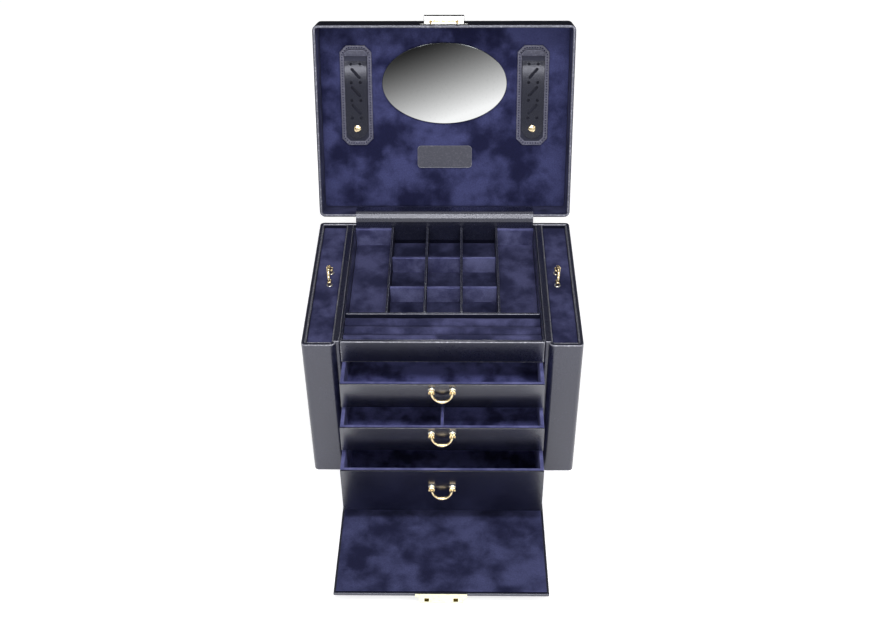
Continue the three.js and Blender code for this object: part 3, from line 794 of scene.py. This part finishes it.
def build_lid_shell():
    depth, wall, border = 0.05, 0.004, (0.0013, 0.0037)
    shell = add_block("lid_cover", (-lid_half, lid_front, lid_rim), (lid_half, lid_back, lid_rim + depth))
    select_faces(shell, lambda centre, normal: normal.z < -0.9)
    bpy.ops.mesh.delete(type="FACE")
    select_edges(shell, lambda a, b: abs(a.z - b.z) > 0.01)
    bpy.ops.mesh.bevel(offset=0.0075, segments=8)
    select_edges(shell, lambda a, b: a.z > lid_rim + 0.04 and b.z > lid_rim + 0.04)
    bpy.ops.mesh.bevel(offset=0.0066, segments=6)
    bpy.ops.mesh.select_all(action="SELECT")
    bpy.ops.mesh.normals_make_consistent()
    cover_with(shell, casing_leather, lid_rim_wear_and_highlight_leather, shaded_suede)
    apply_modifier(shell, "SOLIDIFY", thickness=wall, offset=-1, use_even_offset=True, material_offset=2,
                   material_offset_rim=1)
    round_edges(shell, 0.0015, 5, 50, material=0, use_clamp_overlap=False)
    # A band of the rim's face, between the two border distances from the outside, takes the lighter rim
    # leather: a painted highlight.
    for face in shell.data.polygons:
        centre = face.center
        inward = min(lid_half - abs(centre.x), centre.y - lid_front, lid_back - centre.y)
        if centre.z < lid_rim + 0.0018:
            face.material_index = int(border[0] < inward < border[1] and centre.z < lid_rim + 0.001)
    settle(shell)
    fit(lean_back(shell), "lid", "leather", "lid_shell")


build_lid_shell()

# Lid lining: suede on a stiff card, pressed into the lid and glued. The nap is brushed this way
# and that, in clouds.

lid_suede = suede("lid_suede", (0.0072, 0.0082, 0.033), (0.042, 0.046, 0.126), 19, 0.12, 0.06)


def build_lid_lining():
    low, high, inset = 0.2592, 0.2612, 0.0043
    lining = add_block("lid_lining_cover", (-lid_half + inset, lid_front + inset, low),
                       (lid_half - inset, lid_back - inset, high))
    cover_with(lining, lid_suede)
    select_edges(lining, lambda a, b: abs(a.z - b.z) > 0.001)
    bpy.ops.mesh.bevel(offset=0.0032, segments=5)
    round_edges(lining, 0.0008, 2, 50)
    settle(lining)
    fit(lean_back(lining), "lid", "suede", "lid_lining")


build_lid_lining()

# Mirror: an oval of silvered glass, glued to the lining. Its narrow edge is ground and polished,
# and shows dark.

glass_edge = metal("glass_edge", (0.08, 0.085, 0.09), (0.05, 0.055, 0.06))
silvered_glass = dressed("silvered_glass", metal_polish, None,
                         dict(Colour=(0.93, 0.94, 0.94, 1), Dulled=(0.9, 0.91, 0.91, 1)),
                         Metallic=1.0, Roughness=0.02)


def build_mirror():
    deselect()
    half_width, half_height, middle = 0.0835, 0.054, -0.0471
    face, back_face = 0.2564, 0.2589
    bpy.ops.mesh.primitive_cylinder_add(vertices=128, radius=1, depth=back_face - face,
                                        location=(0, middle, (face + back_face) / 2))
    glass = bpy.context.object
    glass.name = glass.data.name = "mirror_glass"
    glass.scale = (half_width, half_height, 1)
    bpy.ops.object.transform_apply()
    cover_with(glass, silvered_glass, glass_edge)
    select_edges(glass, lambda a, b: on_plane(a.z, face) and on_plane(b.z, face))
    bpy.ops.mesh.bevel(offset=0.0007, segments=2)
    bpy.ops.object.mode_set(mode="OBJECT")
    for polygon in glass.data.polygons:
        if polygon.normal.z > -0.98:
            polygon.material_index = 1
    smooth(glass, 20)
    fit(lean_back(glass), "lid", "mirror", "mirror")


build_mirror()

# Earring holders: an eight-sided leather plate stitched round its edge, with a punched strap held
# under a band at the top and closed by a snap at the bottom.

strap_leather = leather("strap_leather", (0.004, 0.005, 0.013), (0.016, 0.016, 0.03), 0.3, (0.2, 0.3),
                        0.12, 0.00006, 0.45)
plate_leather = leather("plate_leather", (0.03, 0.031, 0.055), (0.12, 0.12, 0.17), 0.6, (0.3, 0.42),
                        0.1, 0.0001, 0.4)
# Border leather: the plates' lighter border, and a painted highlight on the bevelled edges of plate, band and
# strap.
border_and_highlight_leather = leather("border_and_highlight_leather", (0.06, 0.06, 0.095), (0.2, 0.2, 0.26), 0.7, (0.28, 0.4),
                             0.1, 0.0001, 0.5)


blue_thread = dressed("blue_thread", suede_nap, None,
                      dict(Dark=(0.002, 0.002, 0.012, 1), Light=(0.006, 0.008, 0.05, 1), Patches=160),
                      Roughness=0.8, Specular_IOR_Level=0.1)


def octagon(x, half, low, high, corner):
    left, right = x - half, x + half
    return [Vector(p) for p in (
        (left + corner, low), (right - corner, low), (right, low + corner), (right, high - corner),
        (right - corner, high), (left + corner, high), (left, high - corner), (left, low + corner))]


def join_parts(name, parts):
    deselect()
    for part in parts:
        part.select_set(True)
    bpy.context.view_layer.objects.active = parts[0]
    bpy.ops.object.join()
    piece = bpy.context.object
    piece.name = piece.data.name = name
    return piece


def build_stitches(name, corners, height, pitch):
    """Thread between small pierced holes, laid round a closed line."""
    deselect()
    bpy.ops.mesh.primitive_uv_sphere_add(segments=8, ring_count=5, radius=1)
    stitch = bpy.context.object
    stitch.scale = (0.0009, 0.0009, 0.0006)
    bpy.ops.object.transform_apply(location=False, rotation=False, scale=True)
    copies = []
    for start, end in zip(corners, corners[1:] + corners[:1]):
        run = end - start
        count = max(1, round(run.length / pitch))
        for step in range(count):
            copy = bpy.data.objects.new("stitch", stitch.data.copy())
            bpy.context.scene.collection.objects.link(copy)
            point = start + run * (step + 0.5) / count
            copy.location = (point.x, point.y, height)
            copy.rotation_euler = (0, 0, math.atan2(run.y, run.x))
            copies.append(copy)
    bpy.data.objects.remove(stitch)
    row = join_parts(name, copies)
    bpy.ops.object.transform_apply()
    cover_with(row, blue_thread)
    bpy.ops.object.shade_smooth()
    return row


def build_earring_holder(side, sign):
    x, half, corner = sign * 0.1182, 0.0212, 0.009
    low, high, under, top = -0.0975, 0.0365, 0.2589, 0.2569
    plate = add_block(f"strap_plate_{side}_cover", (x - half, low, top), (x + half, high, under))
    select_edges(plate, lambda a, b: abs(a.z - b.z) > 0.001)
    bpy.ops.mesh.bevel(offset=corner)
    cover_with(plate, plate_leather, border_and_highlight_leather, lining_and_shade_leather)
    select_faces(plate, lambda centre, normal: normal.z < -0.9)
    bpy.ops.mesh.inset(thickness=0.0052)
    bpy.ops.mesh.inset(thickness=0.0006, depth=-0.0005)
    bpy.ops.object.mode_set(mode="OBJECT")
    # The sunken centre under the strap takes the dark lining leather, painted shade; every other face takes
    # the border leather.
    for face in plate.data.polygons:
        face.material_index = 2 if face.normal.z < -0.9 and face.area > 0.002 else 1
    # The new rounded edges take the lighter border leather: a painted highlight.
    round_edges(plate, 0.0007, 3, 60, material=1)
    settle(plate)
    fit(lean_back(plate), "lid", "leather", f"strap_plate_{side}")
    inset = 0.003
    line = octagon(x, half - inset, low + inset, high - inset, corner - inset * 0.42)
    row = build_stitches(f"strap_stitching_{side}", line, top, 0.0035)
    fit(lean_back(row), "lid", "leather")
    band_half, start, end, band_top = 0.0162, low + 0.0052, low + 0.0138, 0.2535
    band = add_block(f"strap_band_{side}", (x - band_half, start, band_top), (x + band_half, end, top))
    select_edges(band, lambda a, b: abs(a.z - b.z) > 0.001 and a.y < low + 0.006)
    bpy.ops.mesh.bevel(offset=0.0052)
    cover_with(band, plate_leather, border_and_highlight_leather)
    # The band's rounded edges take the lighter border leather: a painted highlight.
    round_edges(band, 0.0012, 3, 40, material=1)
    settle(band)
    fit(lean_back(band), "lid", "leather")
    body = f"earring_strap_{side}"
    fit(lean_back(build_strap(side, body)), body, "leather", body)
    cap = build_snap_cap(side, (x, 0.0135, 0.2546))
    fit(lean_back(cap), body, "brass", f"snap_cap_{side}")


def build_strap(side, body):
    """The punched strap, as it lies on the shut lid: it arches between its band and its snap."""
    start, length, arch, steps = -0.0855, 0.112, 0.003, 28
    strap = move_by(copy_node(body, f"{body}_cover"), about_pivot(-lean))
    merge_triangles(strap)
    for step in range(1, steps):
        bpy.ops.mesh.select_all(action="SELECT")
        bpy.ops.mesh.bisect(plane_co=(0, start + length * step / steps, 0), plane_no=(0, 1, 0))
    cover_with(strap, strap_leather, border_and_highlight_leather, lining_and_shade_leather)
    # The strap's first stretch, under the band, takes the dark lining leather: a painted shadow cast by the
    # band.
    for face in strap.data.polygons:
        face.material_index = 2 if face.center.y < start + 0.009 else 0
    for vertex in strap.data.vertices:
        along = min(1, max(0, ((vertex.co.y - start) / length - 0.07) / 0.76))
        vertex.co.z -= arch * math.sin(math.pi * along ** 0.6)
    # The strap's rounded edges take the lighter border leather: a painted highlight.
    round_edges(strap, 0.0006, 2, 60, material=1)
    settle(strap)
    return strap


def build_snap_cap(side, place):
    deselect()
    bpy.ops.mesh.primitive_uv_sphere_add(segments=32, ring_count=16, radius=0.005, location=place)
    cap = bpy.context.object
    cap.name = cap.data.name = f"snap_cap_{side}_dome"
    cap.scale = (1, 1, 0.24)
    bpy.ops.object.transform_apply()
    open_all(cap)
    bpy.ops.mesh.bisect(plane_co=(0, 0, place[2] - 0.0001), plane_no=(0, 0, 1), clear_outer=True,
                        use_fill=True)
    cover_with(cap, pale_brass)
    smooth(cap, 40)
    return cap


for side, sign in sides:
    build_earring_holder(side, sign)

# Label: a blank tab of smooth leather, glued under the mirror. Its border is creased with a hot
# iron; its rounded edges are painted lighter, a painted highlight.

label_leather = leather("label_leather", (0.025, 0.026, 0.042), (0.09, 0.09, 0.115), 0.7, (0.26, 0.36),
                        0.3, 0.0001, 0.7)


def build_label():
    half, near, far, face, back_face = 0.037, 0.0375, 0.0682, 0.2573, 0.2589
    label = add_block("label_tab", (-half, near, face), (half, far, back_face))
    cover_with(label, label_leather, rim_wear_and_highlight_leather)
    select_edges(label, lambda a, b: abs(a.z - b.z) > 0.001)
    bpy.ops.mesh.bevel(offset=0.005, segments=6)
    select_faces(label, lambda centre, normal: normal.z < -0.9)
    bpy.ops.mesh.inset(thickness=0.0014, depth=-0.0003)
    # The rounded edges take the lighter rim leather: a painted highlight.
    round_edges(label, 0.0004, 2, 40, material=1)
    settle(label)
    fit(lean_back(label), "lid", "leather", "label_plate")


build_label()

# Lid half of the lock: a folded nickel plate screwed to the lid's front edge, with two brass hooks
# that catch in the flap's half.

dark_plate = metal("dark_plate", (0.15, 0.15, 0.15), (0.07, 0.07, 0.075))
# Dark brass: the real colour of the lid's hooks, and painted shade on the walls of the flap lock's slots.
aged_brass_and_slot_shade = metal("aged_brass_and_slot_shade", (0.36, 0.26, 0.12), (0.16, 0.11, 0.06))

fit(covered_copy("lid_lock_plate", "lid_lock_cover", 0.0006, [nickel_plate, dark_plate], 3), "lid", "nickel",
    "lid_lock_plate")
fit(covered_copy("lid_lock_hooks", "lid_lock_pins", 0.0003, [aged_brass_and_slot_shade], 2, 40), "lid", "nickel",
    "lid_lock_hooks")

# Leather hinges: the lid's broad strap and the flap's narrow strip, glued to the parts on both
# sides. Each is drawn in the one bend it has with the lid and the flap open.

strap_shine = leather("strap_shine", (0.01, 0.011, 0.024), (0.04, 0.04, 0.06), 0.35, (0.24, 0.32),
                      0.7, 0.00012, 1.0)


def build_hinge_strap(name, node, bend, thick):
    """A strip drawn out along its bend, one short step after another."""
    deselect()
    half, path = 0.1205, rounded_path(bend)
    (y, z), (_, z_next) = path[:2]
    bpy.ops.mesh.primitive_plane_add(size=1, location=(0, y, (z + z_next) / 2), rotation=(math.pi / 2, 0, 0))
    strap = bpy.context.object
    strap.name = strap.data.name = name
    strap.scale = (2 * half, abs(z_next - z), 1)
    bpy.ops.object.transform_apply()
    select_edges(strap, lambda a, b: on_plane(a.z, z_next) and on_plane(b.z, z_next))
    for here, there in zip(path[1:], path[2:]):
        step = (0, there[0] - here[0], there[1] - here[1])
        bpy.ops.mesh.extrude_edges_move(TRANSFORM_OT_translate={"value": step})
    bpy.ops.mesh.select_all(action="SELECT")
    bpy.ops.mesh.normals_make_consistent()
    bpy.ops.mesh.subdivide(number_cuts=3)
    apply_modifier(strap, "SOLIDIFY", thickness=thick, offset=0)
    open_all(strap)
    bpy.ops.mesh.normals_make_consistent()
    cover_with(strap, strap_shine)
    smooth(strap, 50)
    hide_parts(node)
    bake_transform(strap)


def rounded_path(points, steps=5):
    """More points on the same line, with its corners eased."""
    eased = [points[0]]
    for before, here, after in zip(points, points[1:], points[2:]):
        for step in range(steps + 1):
            t = 0.25 + 0.5 * step / steps
            a = [p + (q - p) * min(1, 0.5 + t) for p, q in zip(before, here)]
            b = [p + (q - p) * max(0, t - 0.5) for p, q in zip(here, after)]
            eased.append(tuple((1 - t) * p + t * q for p, q in zip(a, b)))
    eased.append(points[-1])
    return eased


lid_path = [(0.1209, 0.195), (0.1209, 0.219), (0.1216, 0.224), (0.1234, 0.229), (0.1262, 0.2332),
            (0.1296, 0.235), (0.134, 0.234), (0.150, 0.2284)]
build_hinge_strap("lid_strap", "lid_hinge_strap", lid_path, 0.0012)
flap_path = [(-0.1213, 0.022), (-0.1213, 0.011), (-0.1226, 0.0086), (-0.126, 0.0076), (-0.132, 0.0079),
             (-0.144, 0.0086)]
build_hinge_strap("flap_strip", "flap_hinge_strip", flap_path, 0.0008)

# The front flap: a leather-covered board lined in suede, which lies open on the table and rests
# on its half of the lock.

flap_suede = suede("flap_suede", (0.007, 0.008, 0.030), (0.045, 0.049, 0.12), 18, 0.13, 0.08)

fit(covered_copy("flap_board", "flap_board_cover", 0.0011, [casing_leather]),
    "flap", "leather", "flap_board")
fit(covered_copy("flap_lining", "flap_lining_cover", 0.0006, [flap_suede]), "flap", "suede", "flap_lining")
cream_plate = metal("cream_plate", (0.80, 0.78, 0.58), (0.72, 0.68, 0.46))


def build_flap_lock():
    cover = covered_copy("flap_lock_case", "flap_lock_cover", 0.0006, [cream_plate, dark_plate, aged_brass_and_slot_shade])
    low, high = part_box("flap_lock_case")
    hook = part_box("lid_lock_hooks")[1].x - 0.0019
    for polygon in cover.data.polygons:
        # The slots' walls take the dark brass: painted shade inside the slots.
        in_slot = abs(abs(polygon.center.x) - hook) < 0.0034 and abs(polygon.normal.z) < 0.9
        polygon.material_index = 1 if polygon.center.z > high.z - 0.0056 else 2 if in_slot else 0
    fit(cover, "flap", "nickel", "flap_lock_case")


build_flap_lock()
fit(covered_copy("flap_lock_slider", "flap_lock_thumb", 0.0003, [nickel_plate], 2),
    "flap_lock_slider", "nickel", "flap_lock_slider")

# Drawers: a suede-covered tray with a thin leather face glued on. The face's top edge is folded
# leather, and the suede rim shows behind it; the fold has a painted highlight, the rim painted sheen.

drawer_suede = suede("drawer_suede", (0.014, 0.015, 0.055), (0.08, 0.085, 0.235), 26, 0.12, 0.1)
face_leather = leather("face_leather", (0.003, 0.0035, 0.011), (0.01, 0.011, 0.028), 0.3, (0.18, 0.26),
                       0.9, 0.00008, 1.0, 1.7)


def build_drawer(number):
    body = f"drawer_{number}"
    # The face's upward rounded edges take the lighter rim leather: a painted highlight.
    face = covered_copy(f"{body}_front", f"{body}_face", 0.0006, [face_leather, rim_wear_and_highlight_leather], 3, 60)
    fit(highlight_on_top(face), body, "leather", f"{body}_front")
    low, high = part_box(f"{body}_tray")
    tray = covered_copy(f"{body}_tray", f"{body}_tray_cover", 0.0011, [drawer_suede, suede_edge_sheen])
    # The tray's top rim and rounded edges take the brighter edge suede: painted sheen.
    for polygon in tray.data.polygons:
        if polygon.center.z > high.z - 0.0012:
            polygon.material_index = 1
        elif polygon.center.z < low.z + 0.006 or polygon.normal.z > 0.5:
            polygon.material_index = 0
    fit(tray, body, "suede", f"{body}_tray")


for number in (1, 2, 3):
    build_drawer(number)
# The divider's rounded edges take the brighter edge suede: painted sheen.
fit(covered_copy("drawer_2_divider", "drawer_2_divider_cover", 0.0008, [drawer_suede, suede_edge_sheen]),
    "drawer_2", "suede", "drawer_2_divider")

# Ring handles: round nickel collars, brass forks and a cast bow that is thicker in its middle and
# carries a raised ring there. Each bow swings between two forks.

fork_reach, pin_height = 0.01265, 0.0058


def build_collars(name):
    """Collars and shanks, made facing +Z round the middle of the handle."""
    parts = []
    for x in (-fork_reach, fork_reach):
        collar = add_part("cylinder", "collar", nickel_plate, vertices=32, radius=0.0042, depth=0.0016,
                          location=(x, 0, 0.0011))
        round_edges(collar, 0.0006, 3, 50)
        stem = add_part("cylinder", "stem", nickel_plate, vertices=24, radius=0.0019, depth=0.0024,
                        location=(x, 0, 0.0028))
        round_edges(stem, 0.0003, 2, 50)
        parts += [collar, stem]
    return smooth(join_parts(name, parts), 35)


def build_forks(name):
    parts = []
    for x in (-fork_reach, fork_reach):
        for side in (-1, 1):
            ear = add_part("uv_sphere", "ear", pale_brass, segments=24, ring_count=14, radius=0.0027,
                           location=(0, 0, 0), scale=(0.42, 1, 1))
            ear.location = (x + side * 0.0029, 0, pin_height)
            use(ear)
            bpy.ops.object.transform_apply()
            parts.append(ear)
        saddle = add_part("cylinder", "saddle", pale_brass, vertices=24, radius=0.0021, depth=0.0074,
                          location=(x, 0, 0.0036), rotation=(0, math.pi / 2, 0))
        round_edges(saddle, 0.0007, 3, 50)
        parts.append(saddle)
    return smooth(join_parts(name, parts), 35)


def build_bow(name):
    """The bow hangs towards -Y from the line between the forks."""
    reach, wire, stations = fork_reach, 0.0016, 64
    ring = add_part("torus", "bow", pale_brass, major_radius=reach, minor_radius=wire,
                    major_segments=stations, minor_segments=16)
    open_all(ring)
    bpy.ops.mesh.bisect(plane_co=(0, 0, 0), plane_no=(0, 1, 0), clear_outer=True, use_fill=True)
    for station in range(1, stations // 2):
        angle = math.pi + 2 * math.pi * station / stations
        middle = Vector((reach * math.cos(angle), reach * math.sin(angle), 0))
        swell = 1 + 0.48 * math.exp(-(((angle - 1.5 * math.pi) / 0.42) ** 2))
        select_parts(ring, "vertices", lambda point: (
            abs(math.atan2(point.co.y, point.co.x) % (2 * math.pi) - angle) < 0.01))
        bpy.ops.transform.resize(value=(swell, swell, swell), center_override=middle)
    bpy.ops.object.mode_set(mode="OBJECT")
    parts = [ring]
    for turn, thick in ((-0.3, 0.0021), (0, 0.0028), (0.3, 0.0021)):
        angle = 1.5 * math.pi + turn
        bead = add_part("torus", "bead", pale_brass, major_radius=thick - 0.0003, minor_radius=0.00055,
                        major_segments=24, minor_segments=8, rotation=(0, math.pi / 2, angle - 1.5 * math.pi))
        bead.location = (reach * math.cos(angle), reach * math.sin(angle), 0)
        use(bead)
        bpy.ops.object.transform_apply()
        parts.append(bead)
    for side in (-1, 1):
        ball = add_part("uv_sphere", "ball", pale_brass, segments=24, ring_count=14, radius=0.0024,
                        location=(side * reach, 0, 0), scale=(0.75, 1, 1))
        parts.append(ball)
    return smooth(join_parts(name, parts), 35)


def build_handle(body, turn, place, bow_turn, reach):
    """Collars and forks on the plate, and the bow on the line of their pins."""
    collars = move_by(build_collars(f"{body}_collars"), Matrix.Translation(place) @ turn)
    fit(collars, body, "nickel", f"{body}_posts")
    forks = move_by(build_forks(f"{body}_forks"), Matrix.Translation(place) @ turn)
    fit(forks, body, "brass")
    bow = move_by(build_bow(f"{body}_bow"), Matrix.Translation(place + reach) @ bow_turn)
    fit(bow, f"{body}_bail", "brass", f"{body}_bail")


def turned(axis, degrees):
    return Matrix.Rotation(math.radians(degrees), 4, axis)


for number, drop in ((1, 0.008), (2, 0.008), (3, 0.027)):
    low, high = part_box(f"drawer_{number}_front")
    build_handle(f"drawer_{number}", turned("X", 90), Vector((0, low.y, high.z - drop)), turned("X", 78),
                 Vector((0, -pin_height, 0)))
for side, sign in sides:
    body = f"necklace_panel_{side}"
    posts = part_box(f"{body}_posts")
    place = Vector(((posts[0].x + posts[1].x) / 2, 0.004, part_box(body)[1].z))
    build_handle(body, turned("Z", 90), place, turned("Y", sign * 6) @ turned("Z", 90) @ turned("X", -90),
                 Vector((0, 0, pin_height)))
